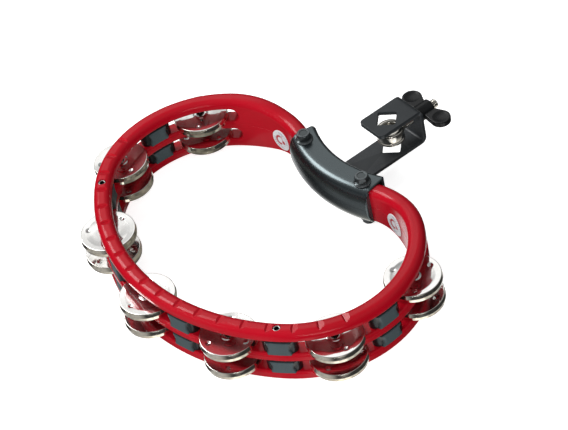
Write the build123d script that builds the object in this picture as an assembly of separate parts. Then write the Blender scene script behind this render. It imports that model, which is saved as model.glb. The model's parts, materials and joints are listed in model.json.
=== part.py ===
from build123d import *
import math
import os

# Mountable jingle ring (tambourine): a red two-row plastic ring with seven
# jingle stations, a black clamp on its pulled-in side, and a bent steel
# bracket whose eyebolt grips a vertical rod.
# Millimetres, +Z up.  The ring lies flat on Z = 0.  +X points from the
# playing edge to the bracket, and Y = 0 is the plane of symmetry.

os.makedirs("parts", exist_ok=True)

# ------------------------------------------------------------ dimensions
SHIFT_X = -13.8            # puts the origin under the middle of the outer box
RING_H = 50.4              # height of the ring
MID_Z = 25.2               # joint between upper and lower ring halves
WALL = 14.4                # thickness of the ring wall, seen from above
RAIL_LOW = 7.8             # top of the bottom rail
MID_LOW = 19.4             # underside of the middle rail
MID_HIGH = 27.7            # top of the middle rail
RAIL_HIGH = 40.8           # underside of the top rail
SLOT_END = 284.0           # slots end this far along the wall from the front
RAIL_R = 2.2               # rounding of the rails' long edges
TOP_R = 6.0                # rounding of the top bead
EDGE_R = 1.6               # rounding of the bottom edges
PARTING = 0.45             # bevel along the joint of the two halves

FRONT_X = -122.9 + SHIFT_X  # centreline of the wall at the playing edge
R1, A1 = 183.08, 38.593    # plan: arcs of the centreline, front to clamp
R2, A2 = 98.51, 17.216
R3, A3 = 86.36, 114.482
R4, A4 = 60.69, 32.388

CLAMP_HALF_H = 16.4        # half height of the wall inside the clamp
TAPER_Y0, TAPER_Y1 = 120.0, 44.0   # the wall loses height between these |y|

PIN_PITCH = 83.57          # spacing of the jingle pins along the wall
PIN_R = 1.25
PIN_HOLE_R = 1.31
PIN_TOP = 47.2
BOSS_R, BOSS_H = 4.9, 0.5

JINGLE_R = 23.0
JINGLE_H = 3.6
JINGLE_T = 0.7
JINGLE_HOLE_R = 3.25
PAIR_H = 7.24              # two discs with their lips together

SPACER_R = 7.0             # half thickness of a spacer and radius of its ends
SPACER_GAP = 28.0          # from a pin to the tip of the next spacer

NOTCH_PITCH = 19.63
NOTCH_COUNT = 19
NOTCH_DEPTH = 1.25

RIM_SCREW_S = 1.5 * PIN_PITCH
RIM_HEAD_R, RIM_HEAD_H = 3.1, 3.0
RIM_SHANK_R = 1.75

CLAMP_INNER = 12.8         # clamp's reach inside the ring, from the centreline
CLAMP_OUTER = 12.8
CLAMP_IN_Y, CLAMP_OUT_Y = 49.5, 45.7   # half width at its inner and outer sides
CLAMP_CORNER_R = 4.0
CLAMP_HALF_Z = 18.0
BOLT_Y = 37.0
BOLT_R = 3.0
FLANGE_R = 7.1
HEX_AF = 10.0

LEG_TOP_Z = 49.1           # bracket: upper face of the upper leg
BAR_TOP_Z = 18.3
SHEET = 3.2
LEG_HALF_W = 14.3
LEG_END_X = 105.4 + SHIFT_X
WEB_X = 149.5 + SHIFT_X    # outer face of the web
BEND_R = 5.6
DIAMOND_SIDE = 15.0
DIAMOND_X = 123.6 + SHIFT_X

EYE_X = 124.7 + SHIFT_X
AXIS_Z = 32.3              # height of the eyebolt's axis
EYE_R, EYE_HOLE_R, EYE_H = 11.5, 6.5, 12.0
SHANK_R = 3.9
SHANK_HOLE_R = 4.0
BOLT_END_X = 173.5 + SHIFT_X
WASHER_T = 1.0
NUT_R = 7.0
NUT_X0 = WEB_X + WASHER_T
NUT_X1 = 167.4 + SHIFT_X
LOBE_X, LOBE_Y, LOBE_R = 163.4 + SHIFT_X, 18.0, 8.4
LOBE_T = 5.0

BADGE_S, BADGE_Z, BADGE_R, BADGE_T = 329.0, 19.9, 10.4, 0.5

# ------------------------------------------------------------ plan curve
def _table():
    rows = []
    p = (FRONT_X, 0.0)
    h = math.pi / 2
    for radius, ang in ((R1, A1), (R2, A2), (R3, A3), (R4, A4)):
        a = math.radians(ang)
        c = (p[0] + radius * math.sin(h), p[1] - radius * math.cos(h))
        rows.append((radius, a, c, h, 1))
        h -= a
        p = (c[0] - radius * math.sin(h), c[1] + radius * math.cos(h))
    a5 = -math.pi / 2 - h
    r5 = p[1] / math.sin(a5)
    c = (p[0] - r5 * math.sin(h), p[1] + r5 * math.cos(h))
    rows.append((r5, a5, c, h, -1))
    return rows


ARCS = _table()
R5 = ARCS[4][0]
DENT_X = ARCS[4][2][0]     # centre of the inward curve at the clamp
BREAKS = [0.0]
for _row in ARCS:
    BREAKS.append(BREAKS[-1] + _row[0] * _row[1])
HALF = BREAKS[-1]


def at(s, off=0.0):
    """Point at length s along the wall, moved outward by off, and the
    outward normal there.  Negative s is the -Y half."""
    t = abs(s)
    for i, (radius, a, c, h, turn) in enumerate(ARCS):
        if t <= BREAKS[i + 1] + 1e-9 or i == 4:
            u = (t - BREAKS[i]) / radius
            if turn > 0:
                n = (-math.sin(h - u), math.cos(h - u))
                q = (c[0] + (radius + off) * n[0], c[1] + (radius + off) * n[1])
            else:
                n = (-math.sin(h + u), math.cos(h + u))
                q = (c[0] - (radius - off) * n[0], c[1] - (radius - off) * n[1])
            break
    if s < 0:
        return (q[0], -q[1]), (n[0], -n[1])
    return q, n


def run(s0, s1, off):
    """Arcs of the curve moved outward by off, from s0 to s1."""
    cuts = sorted({-b for b in BREAKS[1:]} | set(BREAKS[1:]))
    stops = [s0] + [b for b in cuts if s0 + 1e-6 < b < s1 - 1e-6] + [s1]
    out = []
    for a, b in zip(stops[:-1], stops[1:]):
        p, m, q = at(a, off)[0], at((a + b) / 2, off)[0], at(b, off)[0]
        out.append(Edge.make_three_point_arc(
            Vector(p[0], p[1], 0), Vector(m[0], m[1], 0), Vector(q[0], q[1], 0)))
    return out


def ring_face(off):
    edges = run(-HALF, HALF, off)
    return Face(Wire(edges))


def strip(s0, s1, off0, off1):
    """Region of the wall between two lengths and two offsets."""
    a, b = run(s0, s1, off1), run(s0, s1, off0)
    p0, p1 = at(s0, off0)[0], at(s0, off1)[0]
    q0, q1 = at(s1, off0)[0], at(s1, off1)[0]
    ends = [Edge.make_line(Vector(*p0, 0), Vector(*p1, 0)),
            Edge.make_line(Vector(*q0, 0), Vector(*q1, 0))]
    return Face(Wire(a + b + ends))


def prism(face, z0, z1):
    return extrude(Pos(0, 0, z0) * face, amount=z1 - z0, dir=(0, 0, 1))


def rod(x, y, r, z0, z1):
    return Pos(x, y, (z0 + z1) / 2) * Cylinder(r, z1 - z0)


def block(x0, x1, y0, y1, z0, z1):
    return Pos((x0 + x1) / 2, (y0 + y1) / 2, (z0 + z1) / 2) * Box(x1 - x0, y1 - y0, z1 - z0)


def hexagon(x, y, af, z0, z1, turn=0.0):
    poly = Pos(x, y, 0) * (Rot(0, 0, turn) * RegularPolygon(af / math.sqrt(3), 6))
    return prism(poly.face(), z0, z1)


def save(shape, name):
    items = list(shape.solids()) if hasattr(shape, "solids") else list(shape)
    out = items[0] if len(items) == 1 else Compound(children=items)
    out.label = name
    export_step(out, "parts/" + name + ".step")
    return out


# ------------------------------------------------------------ ring blank
SPAN = (TAPER_Y0 - TAPER_Y1) / 2
DROP = MID_Z - CLAMP_HALF_H
_th = 2 * math.atan2(DROP / 2, SPAN)
TAPER_R = SPAN / math.sin(_th)
Y_MID = (TAPER_Y0 + TAPER_Y1) / 2


def drop_at(y):
    """How much lower than full height the wall is at |y|."""
    y = abs(y)
    if y >= TAPER_Y0:
        return 0.0
    if y <= TAPER_Y1:
        return DROP
    if y > Y_MID:
        return TAPER_R - math.sqrt(TAPER_R ** 2 - (TAPER_Y0 - y) ** 2)
    return DROP - (TAPER_R - math.sqrt(TAPER_R ** 2 - (y - TAPER_Y1) ** 2))


def taper_tool(x0, x1):
    """Everything above the tapering top line, between two X planes."""
    def edge3(y0, y1):
        pts = [(y, RING_H - drop_at(y)) for y in (y0, (y0 + y1) / 2, y1)]
        return Edge.make_three_point_arc(*[Vector(x0, y, z) for y, z in pts])

    def line(a, b):
        return Edge.make_line(Vector(x0, *a), Vector(x0, *b))

    top = RING_H + 20
    low = RING_H - DROP
    edges = [edge3(-TAPER_Y0, -Y_MID), edge3(-Y_MID, -TAPER_Y1),
             line((-TAPER_Y1, low), (TAPER_Y1, low)),
             edge3(TAPER_Y1, Y_MID), edge3(Y_MID, TAPER_Y0),
             line((TAPER_Y0, RING_H), (TAPER_Y0, top)),
             line((TAPER_Y0, top), (-TAPER_Y0, top)),
             line((-TAPER_Y0, top), (-TAPER_Y0, RING_H))]
    return extrude(Face(Wire(edges)), amount=x1 - x0, dir=(1, 0, 0))


ring = prism(ring_face(WALL / 2), 0, RING_H) - prism(ring_face(-WALL / 2), -1, RING_H + 1)
tool = taper_tool(5 + SHIFT_X, 200 + SHIFT_X)
ring -= tool
ring -= Pos(0, 0, RING_H) * (Rot(180, 0, 0) * tool)
ring = ring.solids()[0]


def offset_of(x, y):
    """Signed distance of a plan point from the centreline."""
    best = 1e9
    for i in range(-400, 401):
        q = at(i * HALF / 400)[0]
        d = math.hypot(x - q[0], y - q[1])
        if d < abs(best):
            n = at(i * HALF / 400)[1]
            best = math.copysign(d, (x - q[0]) * n[0] + (y - q[1]) * n[1])
    return best


def long_edges(solid, top):
    picked = []
    for e in solid.edges():
        m = e @ 0.5
        zt = RING_H - (drop_at(m.Y) if m.X > 5 + SHIFT_X else 0.0)
        z = zt if top else RING_H - zt
        if abs(m.Z - z) < 0.02 and abs(offset_of(m.X, m.Y)) > 6.0:
            picked.append(e)
    return picked


ring = fillet(long_edges(ring, True), TOP_R)
ring = ring.solids()[0]
ring = fillet(long_edges(ring, False), EDGE_R)
ring = ring.solids()[0]
print("ring blank", round(ring.volume), "valid", ring.is_valid)

# ------------------------------------------------------------ slots, holes
def slot_section(s, z0, z1, half=False):
    """Cross-section of a slot, flared so that the rails' edges are round."""
    r, w = RAIL_R, WALL / 2
    t = math.radians(70)
    mid = (z0 + z1) / 2

    def v(off, z):
        q = at(s, off)[0]
        return Vector(q[0], q[1], z)

    def quarter(side, z, up):
        """From the flat of the rail out past the face of the wall."""
        c = w - r
        p0 = (side * c, z)
        pm = (side * (c + r * math.sin(t / 2)), z + up * r * (1 - math.cos(t / 2)))
        p1 = (side * (c + r * math.sin(t)), z + up * r * (1 - math.cos(t)))
        p2 = (side * (p1[0] * side + 0.6 * math.cos(t)), p1[1] + up * 0.6 * math.sin(t))
        p3 = (side * (w + 1.5), p2[1])
        return p0, pm, p1, p2, p3

    def chain(q, rev=False):
        arc = Edge.make_three_point_arc(v(*q[0]), v(*q[1]), v(*q[2]))
        return [arc, Edge.make_line(v(*q[2]), v(*q[3])), Edge.make_line(v(*q[3]), v(*q[4]))]

    a, b = quarter(-1, z1, 1), quarter(1, z1, 1)
    edges = chain(a) + chain(b) + [Edge.make_line(v(*a[0]), v(*b[0]))]
    if half:
        edges += [Edge.make_line(v(*a[4]), v(a[4][0], mid)), Edge.make_line(v(a[4][0], mid), v(b[4][0], mid)),
                  Edge.make_line(v(b[4][0], mid), v(*b[4]))]
    else:
        c, d = quarter(-1, z0, -1), quarter(1, z0, -1)
        edges += chain(c) + chain(d) + [Edge.make_line(v(*c[0]), v(*d[0]))]
        edges += [Edge.make_line(v(*a[4]), v(*c[4])), Edge.make_line(v(*b[4]), v(*d[4]))]
    return Face(Wire(edges))


for z0, z1 in ((RAIL_LOW, MID_LOW), (MID_HIGH, RAIL_HIGH)):
    stop = SLOT_END - (z1 - z0) / 2
    stops = [-stop, -BREAKS[2], -BREAKS[1], BREAKS[1], BREAKS[2], stop]
    for s0, s1 in zip(stops[:-1], stops[1:]):
        row = ARCS[0] if s0 < 0 < s1 else ARCS[2] if abs(s0) > BREAKS[2] + 1 or abs(s1) > BREAKS[2] + 1 else ARCS[1]
        cy = 0.0 if s0 < 0 < s1 else row[2][1] * (1 if s1 > 0 else -1)
        pivot = Axis((row[2][0], cy, 0), (0, 0, 1))
        ring -= revolve(slot_section(s0, z0, z1), pivot, -math.degrees((s1 - s0) / row[0]))
    for s, turn in ((stop, 180), (-stop, -180)):
        q, n = at(s)
        ring -= revolve(slot_section(s, z0, z1, True), Axis((q[0], q[1], (z0 + z1) / 2), (n[0], n[1], 0)), turn)
ring = ring.solids()[0]
print("slots", round(ring.volume), "valid", ring.is_valid)

PINS = [at((4 - k) * PIN_PITCH)[0] for k in range(1, 8)]
for x, y in PINS:
    for z in (MID_LOW, RAIL_HIGH):
        ring += rod(x, y, BOSS_R, z - BOSS_H, z + 0.5)
for x, y in PINS:
    ring -= rod(x, y, PIN_HOLE_R, -1, PIN_TOP + 0.1)
    ring -= rod(x, y, 2.2, -1, 1.3)

RIM = [at(s)[0] for s in (RIM_SCREW_S, -RIM_SCREW_S)]
HEAD_TOP = RING_H - 0.9
for x, y in RIM:
    ring -= rod(x, y, RIM_SHANK_R + 0.1, -1, RING_H + 1)
    ring -= rod(x, y, RIM_HEAD_R + 0.15, HEAD_TOP - RIM_HEAD_H, RING_H + 1)
    ring -= hexagon(x, y, 6.24, -1, 3.9)

BOLT_X = DENT_X - math.sqrt(R5 ** 2 - BOLT_Y ** 2)
BOLTS = [(BOLT_X, BOLT_Y), (BOLT_X, -BOLT_Y)]
for x, y in BOLTS:
    ring -= rod(x, y, BOLT_R + 0.2, -1, RING_H + 1)

# thumb notches across the crown of the bead
for i in range(NOTCH_COUNT):
    s = (9 - i) * NOTCH_PITCH
    q, n = at(s)
    nrm = Vector(0, 0, 1)
    out = Vector(n[0], n[1], 0)
    tan = Vector(n[1], -n[0], 0)
    rise = NOTCH_DEPTH + 0.6
    a = Vector(q[0], q[1], RING_H - NOTCH_DEPTH) - out * 9
    tri = [a, a - tan * (rise / math.tan(math.radians(16))) + nrm * rise,
           a + tan * (rise / math.tan(math.radians(42))) + nrm * rise]
    f = Face(Wire([Edge.make_line(tri[0], tri[1]), Edge.make_line(tri[1], tri[2]),
                   Edge.make_line(tri[2], tri[0])]))
    ring -= extrude(f, amount=18, dir=out)
ring = ring.solids()[0]
print("ring cut", round(ring.volume), "valid", ring.is_valid)

upper = ring & block(-250, 250, -250, 250, MID_Z, 80)
lower = ring & block(-250, 250, -250, 250, -10, MID_Z)


def parting_edges(solid):
    out = []
    for e in solid.edges():
        pts = [e @ u for u in (0, 0.5, 1)]
        if all(abs(p.Z - MID_Z) < 1e-4 for p in pts) and abs(abs(offset_of(pts[1].X, pts[1].Y)) - WALL / 2) < 0.05:
            out.append(e)
    return out


upper = chamfer(parting_edges(upper), PARTING).solids()[0]
lower = chamfer(parting_edges(lower), PARTING).solids()[0]
print("halves", upper.is_valid, lower.is_valid, round(upper.volume), round(lower.volume))
save(upper, "frame_upper")
save(lower, "frame_lower")

# ------------------------------------------------------------ slot spacers
def spacer_plan(a, b):
    """Obround that follows the wall between two stations."""
    r = SPACER_R
    s0, s1 = a + SPACER_GAP + r, b - SPACER_GAP - r

    def v(s, off):
        q = at(s, off)[0]
        return Vector(q[0], q[1], 0)

    edges = run(s0, s1, r) + run(s0, s1, -r)
    edges.append(Edge.make_three_point_arc(v(s0, r), v(s0 - r, 0), v(s0, -r)))
    edges.append(Edge.make_three_point_arc(v(s1, r), v(s1 + r, 0), v(s1, -r)))
    return Face(Wire(edges))


def spacers(z0, z1):
    """Six spacers whose feet follow the rounded edges of the rail below."""
    out = []
    for k in range(6):
        a, b = (2 - k) * PIN_PITCH, (3 - k) * PIN_PITCH
        body = prism(spacer_plan(a, b), z0, z1)
        foot = prism(spacer_plan(a, b), z0 - 1.6, z0 + 0.2) - lower - upper
        foot = [p for p in foot.solids() if p.volume > 0.5]
        for p in foot:
            body += p
        for x, y in RIM:
            body -= rod(x, y, RIM_SHANK_R + 0.1, z0 - 3, z1 + 1)
        out.append(body.solids().sort_by(SortBy.VOLUME)[-1])
    return Compound(children=out)


save(spacers(RAIL_LOW, MID_LOW), "spacers_lower_row")
save(spacers(MID_HIGH, RAIL_HIGH), "spacers_upper_row")

# ------------------------------------------------------------ jingle pins
for k, (x, y) in enumerate(PINS, 1):
    pin = rod(x, y, PIN_R, 0.45, PIN_TOP)
    pin += rod(x, y, 2.1, 0.45, 1.25)
    save(pin, "jingle_pin_%d" % k)

# ------------------------------------------------------------ jingles
def jingle_profile():
    """Half section of one disc, lip down, its flat face at z = 0."""
    t = JINGLE_T

    def v(x, z):
        return Vector(x, 0, z)

    def line(*pts):
        return [Edge.make_line(v(*p), v(*q)) for p, q in zip(pts[:-1], pts[1:])]

    lip = JINGLE_H
    # upper side: raised ring round the hole, dished face, tight shoulder, lip
    edges = line((JINGLE_HOLE_R, -0.10), (5.2, -0.10), (5.9, -0.60), (7.0, -0.95))
    edges.append(Edge.make_three_point_arc(v(7.0, -0.95), v(14.4, -0.70), v(21.5, 0.0)))
    edges.append(Edge.make_three_point_arc(v(21.5, 0.0), v(22.18, -0.26), v(22.48, -0.92)))
    edges += line((22.48, -0.92), (JINGLE_R, -lip), (JINGLE_R - t, -lip), (21.80, -1.10))
    edges.append(Edge.make_three_point_arc(v(21.80, -1.10), v(21.66, -0.80), v(21.35, -0.70)))
    edges.append(Edge.make_three_point_arc(v(21.35, -0.70), v(14.4, -0.70 - t), v(7.0, -0.95 - t)))
    edges += line((7.0, -0.95 - t), (5.6, -0.62 - t), (4.95, -0.10 - t), (JINGLE_HOLE_R, -0.10 - t), (JINGLE_HOLE_R, -0.10))
    return Face(Wire(edges))


disc = revolve(jingle_profile(), Axis.Z, 360)
# three punched dimples, each a shallow cup with its bulge on the lip side
for i in range(3):
    a = math.radians(90 + 120 * i)
    px, py = 16.6 * math.cos(a), 16.6 * math.sin(a)
    lens = Pos(px, py, 1.05) * Sphere(2.45) & block(-30, 30, -30, 30, -1.9, -0.75)
    disc += lens
    disc -= Pos(px, py, 1.35) * Sphere(2.35)
disc = disc.solids()[0]
print("disc", round(disc.volume, 1), disc.is_valid)
flipped = Rot(180, 0, 0) * disc

# each disc's turn about its pin, in degrees, one pair per row and station
TURN = {("lower", 1): (12, 71), ("lower", 2): (95, 33), ("lower", 3): (48, 104),
        ("lower", 4): (20, 66), ("lower", 5): (83, 9), ("lower", 6): (57, 112),
        ("lower", 7): (31, 88), ("upper", 1): (64, 17), ("upper", 2): (5, 58),
        ("upper", 3): (100, 41), ("upper", 4): (37, 93), ("upper", 5): (15, 76),
        ("upper", 6): (110, 52), ("upper", 7): (69, 24)}
for row, floor in (("lower", RAIL_LOW), ("upper", MID_HIGH)):
    for k, (x, y) in enumerate(PINS, 1):
        a, b = TURN[(row, k)]
        low = Pos(x, y, floor + 0.02) * (Rot(0, 0, a) * flipped)
        top = Pos(x, y, floor + 0.02 + PAIR_H) * (Rot(0, 0, b) * disc)
        save(low, "jingle_%s_row_%d_bottom" % (row, k))
        save(top, "jingle_%s_row_%d_top" % (row, k))

# ------------------------------------------------------------ rim screws
screws, nuts = [], []
for x, y in RIM:
    head = rod(x, y, RIM_HEAD_R, HEAD_TOP - RIM_HEAD_H + 0.05, HEAD_TOP)
    top_edges = [e for e in head.edges() if abs((e @ 0.5).Z - HEAD_TOP) < 1e-3]
    head = fillet(top_edges, 0.45)
    head -= hexagon(x, y, 3.0, HEAD_TOP - 1.9, HEAD_TOP + 1)
    screws.append((head + rod(x, y, RIM_SHANK_R, 0.8, HEAD_TOP - 2.0)).solids()[0])
    nuts.append((hexagon(x, y, 6.0, 1.2, 3.85) - rod(x, y, RIM_SHANK_R + 0.02, 0, 5)).solids()[0])
save(Compound(children=screws), "rim_screws")
save(Compound(children=nuts), "rim_screw_nuts")

# ------------------------------------------------------------ clamp shells
def clamp_section():
    """Half section in the XZ plane through the clamp's middle.  Distances
    are measured from the centre of the inward curve."""
    xi = DENT_X - (R5 + CLAMP_INNER)
    xo = DENT_X - (R5 - CLAMP_OUTER)
    xt = DENT_X - (R5 + 2.0)
    hz, rc = CLAMP_HALF_Z, 3.4

    def v(x, z):
        return Vector(x, 0, MID_Z + z)

    k = rc * (1 - math.sqrt(0.5))
    edges = [Edge.make_line(v(xt, hz), v(xo - rc, hz)),
             Edge.make_three_point_arc(v(xo - rc, hz), v(xo - k, hz - k), v(xo, hz - rc)),
             Edge.make_line(v(xo, hz - rc), v(xo, -hz + rc)),
             Edge.make_three_point_arc(v(xo, -hz + rc), v(xo - k, -hz + k), v(xo - rc, -hz)),
             Edge.make_line(v(xo - rc, -hz), v(xt, -hz))]
    # inner side: a long rounded bulge, widest at the joint of the shells
    a, b = xt - xi, hz
    n = 2.4
    pts = []
    for i in range(13):
        u = math.pi / 2 * i / 12
        pts.append((xt - a * abs(math.sin(u)) ** (2 / n), b * abs(math.cos(u)) ** (2 / n)))
    up = [v(*p) for p in pts]
    dn = [v(p[0], -p[1]) for p in reversed(pts)]
    edges.append(Edge.make_spline(up, tangents=[Vector(-1, 0, 0), Vector(0, 0, -1)]))
    edges.append(Edge.make_spline(dn, tangents=[Vector(0, 0, -1), Vector(1, 0, 0)]))
    return Face(Wire(edges))


def end_y(x):
    """Half width of the clamp at a given X: its ends are slightly slanted."""
    xi, xo = DENT_X - math.sqrt((R5 + CLAMP_INNER) ** 2 - CLAMP_IN_Y ** 2), \
        DENT_X - math.sqrt((R5 - CLAMP_OUTER) ** 2 - CLAMP_OUT_Y ** 2)
    return CLAMP_IN_Y + (CLAMP_OUT_Y - CLAMP_IN_Y) * (x - xi) / (xo - xi)


def clamp_plan():
    """Outline seen from above, its four corners rounded."""
    ri, ro = R5 + CLAMP_INNER + 0.4, R5 - CLAMP_OUTER - 0.4
    xa = DENT_X - math.sqrt(ri ** 2 - CLAMP_IN_Y ** 2)
    xb = DENT_X - math.sqrt(ro ** 2 - CLAMP_OUT_Y ** 2)
    a0, a1 = Vector(xa, -end_y(xa), 0), Vector(xa, end_y(xa), 0)
    b0, b1 = Vector(xb, -end_y(xb), 0), Vector(xb, end_y(xb), 0)
    rr = math.hypot(DENT_X - xa, end_y(xa))
    rb = math.hypot(DENT_X - xb, end_y(xb))
    f = Face(Wire([Edge.make_three_point_arc(a0, Vector(DENT_X - rr, 0, 0), a1), Edge.make_line(a1, b1),
                   Edge.make_three_point_arc(b1, Vector(DENT_X - rb, 0, 0), b0), Edge.make_line(b0, a0)]))
    return fillet(f.vertices(), CLAMP_CORNER_R).face()


half_ang = 31.0
axis = Axis((DENT_X, 0, 0), (0, 0, 1))
body = revolve(clamp_section().rotate(axis, -half_ang), axis, 2 * half_ang)
body = (body.solids()[0] & prism(clamp_plan(), 0, 60)).solids()[0]


def end_rims(solid):
    """Outline of the two ends."""
    out = []
    for e in solid.edges():
        pts = [e @ u for u in (0, 0.5, 1)]
        if min(p.Z for p in pts) < MID_Z - CLAMP_HALF_Z - 0.1:
            continue
        near = [abs(abs(p.Y) - end_y(p.X)) < CLAMP_CORNER_R + 0.6 and abs(p.Y) > 38 for p in pts]
        if all(near) and abs(pts[0].Z - pts[2].Z) + math.hypot(pts[0].X - pts[2].X, pts[0].Y - pts[2].Y) > 0.05:
            vertical = math.hypot(pts[0].X - pts[2].X, pts[0].Y - pts[2].Y) < 0.02
            if not vertical:
                out.append(e)
    return out


for size in (1.3, 0.8):
    try:
        rounded = fillet(end_rims(body), size).solids()[0]
        if rounded.is_valid:
            body = rounded
            print("clamp ends rounded", size)
            break
    except Exception as err:
        print("clamp end rounding", size, "left out", type(err).__name__)
print("clamp blank", round(body.volume), body.is_valid, body.bounding_box())

body -= (upper + lower)
for x, y in BOLTS:
    body -= rod(x, y, BOLT_R + 0.2, -1, 60)
    body -= rod(x, y, 20.0, MID_Z + CLAMP_HALF_Z, 60)
# relief round the ring at both mouths, seen as a dark line
mouth = prism(ring_face(WALL / 2 + 0.4), MID_Z - CLAMP_HALF_H - 0.4, MID_Z + CLAMP_HALF_H + 0.4) \
    - prism(ring_face(-WALL / 2 - 0.4), 0, 60)
for sgn in (1, -1):
    x0, x1 = 30.0, 90.0
    pts = [Vector(x0, sgn * (end_y(x0) - 1.4), 0), Vector(x1, sgn * (end_y(x1) - 1.4), 0),
           Vector(x1, sgn * 70, 0), Vector(x0, sgn * 70, 0)]
    zone = Face(Wire([Edge.make_line(p, q) for p, q in zip(pts, pts[1:] + pts[:1])]))
    body -= mouth & prism(zone, 0, 60)

# bracket tab and bar, let into the shells
TAB_OUT = R5 - WALL / 2 - 0.12     # radius of the tab's face on the ring
TAB_IN = TAB_OUT - SHEET
pocket = (rod(DENT_X, 0, TAB_OUT + 0.12, 14.9, 36.0) - rod(DENT_X, 0, TAB_IN - 0.12, 14, 37)) \
    & block(0, DENT_X - 60, -LEG_HALF_W - 0.12, LEG_HALF_W + 0.12, 0, 60)
body -= pocket
body -= block(DENT_X - R5, DENT_X - 60, -LEG_HALF_W - 0.12, LEG_HALF_W + 0.12,
              BAR_TOP_Z - SHEET - 0.1, BAR_TOP_Z + 0.1) & rod(DENT_X, 0, TAB_OUT + 0.12, 0, 60)
shell_up = (body & block(-250, 250, -250, 250, MID_Z + 0.01, 80)).solids().sort_by(SortBy.VOLUME)[-1]
shell_lo = (body & block(-250, 250, -250, 250, -10, MID_Z - 0.01)).solids().sort_by(SortBy.VOLUME)[-1]


def seam_edges(solid, z):
    out = []
    for e in solid.edges():
        pts = [e @ u for u in (0, 0.5, 1)]
        if all(abs(p.Z - z) < 1e-3 for p in pts):
            r = [math.hypot(p.X - DENT_X, p.Y) for p in pts]
            if all(abs(v - (R5 + CLAMP_INNER)) < 0.1 for v in r) or all(abs(v - (R5 - CLAMP_OUTER)) < 0.1 for v in r):
                out.append(e)
    return out


for name, solid, z in (("clamp_upper_shell", shell_up, MID_Z + 0.01), ("clamp_lower_shell", shell_lo, MID_Z - 0.01)):
    try:
        solid = chamfer(seam_edges(solid, z), 0.35).solids()[0]
    except Exception as err:
        print("seam bevel left out", name, err)
    print(name, round(solid.volume), solid.is_valid)
    save(solid, name)

# ------------------------------------------------------------ clamp bolts
CLAMP_TOP = MID_Z + CLAMP_HALF_Z
CLAMP_BOT = MID_Z - CLAMP_HALF_Z


def flange_head(x, y, z, up, h_flange, h_hex, turn):
    """Hexagon on a round flange, growing up or down from z."""
    f = rod(0, 0, FLANGE_R, 0, h_flange)
    rim = [e for e in f.edges() if abs((e @ 0.5).Z - h_flange) < 1e-3]
    f = chamfer(rim, 0.5 * h_flange, 1.4)
    hx = hexagon(0, 0, HEX_AF, h_flange - 0.2, h_flange + h_hex, turn)
    cone_r = HEX_AF / math.sqrt(3)
    cap = Pos(0, 0, h_flange + h_hex - 6) * (Cylinder(cone_r + 0.05, 12) & Pos(0, 0, 0) * Cone(cone_r + 7.4, cone_r - 0.75, 12))
    hx = hx & cap
    hx -= Pos(0, 0, h_flange + h_hex) * Cylinder(0.33 * HEX_AF, 0.7)
    out = f + hx
    if not up:
        out = Rot(180, 0, 0) * out
    return Pos(x, y, z) * out


bolts, nuts = [], []
for i, (x, y) in enumerate(BOLTS):
    head = flange_head(x, y, CLAMP_TOP, True, 1.8, 5.6, 12 + 17 * i)
    head += rod(x, y, BOLT_R, 0.6, CLAMP_TOP + 1)
    bolts.append(head.solids()[0])
    nut = flange_head(x, y, CLAMP_BOT, False, 1.4, 4.6, 25 - 14 * i) - rod(x, y, BOLT_R + 0.02, -2, 20)
    nuts.append(nut.solids()[0])
save(Compound(children=bolts), "clamp_bolts")
save(Compound(children=nuts), "clamp_nuts")

# ------------------------------------------------------------ bracket
prof = [(LEG_END_X, LEG_TOP_Z), (WEB_X, LEG_TOP_Z), (WEB_X, BAR_TOP_Z - SHEET), (DENT_X - 118, BAR_TOP_Z - SHEET),
        (DENT_X - 118, BAR_TOP_Z), (WEB_X - SHEET, BAR_TOP_Z), (WEB_X - SHEET, LEG_TOP_Z - SHEET),
        (LEG_END_X, LEG_TOP_Z - SHEET)]
pf = Face(Wire([Edge.make_line(Vector(a[0], -LEG_HALF_W, a[1]), Vector(b[0], -LEG_HALF_W, b[1]))
                for a, b in zip(prof, prof[1:] + prof[:1])]))
brk = extrude(pf, amount=2 * LEG_HALF_W, dir=(0, 1, 0)).solids()[0]


def bend_edges(solid, x, zs):
    return [e for e in solid.edges() if abs((e @ 0).X - x) < 1e-3 and abs((e @ 1).X - x) < 1e-3
            and any(abs((e @ 0.5).Z - z) < 1e-3 for z in zs) and abs((e @ 0).Y - (e @ 1).Y) > 10]


brk = fillet(bend_edges(brk, WEB_X, (LEG_TOP_Z, BAR_TOP_Z - SHEET)), BEND_R).solids()[0]
brk = fillet(bend_edges(brk, WEB_X - SHEET, (BAR_TOP_Z, LEG_TOP_Z - SHEET)), BEND_R - SHEET).solids()[0]
corner = [e for e in brk.edges() if abs((e @ 0.5).X - LEG_END_X) < 1e-3 and abs(abs((e @ 0.5).Y) - LEG_HALF_W) < 1e-3
          and abs((e @ 0).Z - (e @ 1).Z) > 1]
brk = fillet(corner, 4.0).solids()[0]
brk = brk & (rod(DENT_X, 0, TAB_OUT, 0, 60) + block(DENT_X - 60, 200, -50, 50, 0, 60))
tab = (rod(DENT_X, 0, TAB_OUT, BAR_TOP_Z - SHEET, 35.4) - rod(DENT_X, 0, TAB_IN, 0, 60)) \
    & block(0, DENT_X - 60, -LEG_HALF_W, LEG_HALF_W, 0, 60)
brk += tab
dia = Pos(DIAMOND_X, 0, 0) * (Rot(0, 0, 45) * Rectangle(DIAMOND_SIDE, DIAMOND_SIDE))
dia = fillet(dia.vertices(), 1.2)
brk -= prism(dia.face(), BAR_TOP_Z - SHEET - 1, LEG_TOP_Z + 1)
brk -= Pos(WEB_X, 0, AXIS_Z) * (Rot(0, 90, 0) * Cylinder(SHANK_HOLE_R, 12))
brk = brk.solids().sort_by(SortBy.VOLUME)[-1]
rims = [e for e in brk.edges() if abs((e @ 0.5).Z - LEG_TOP_Z) < 1e-3]
try:
    brk = chamfer(rims, 0.35).solids()[0]
except Exception as err:
    print("bracket edge bevel left out", err)
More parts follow.
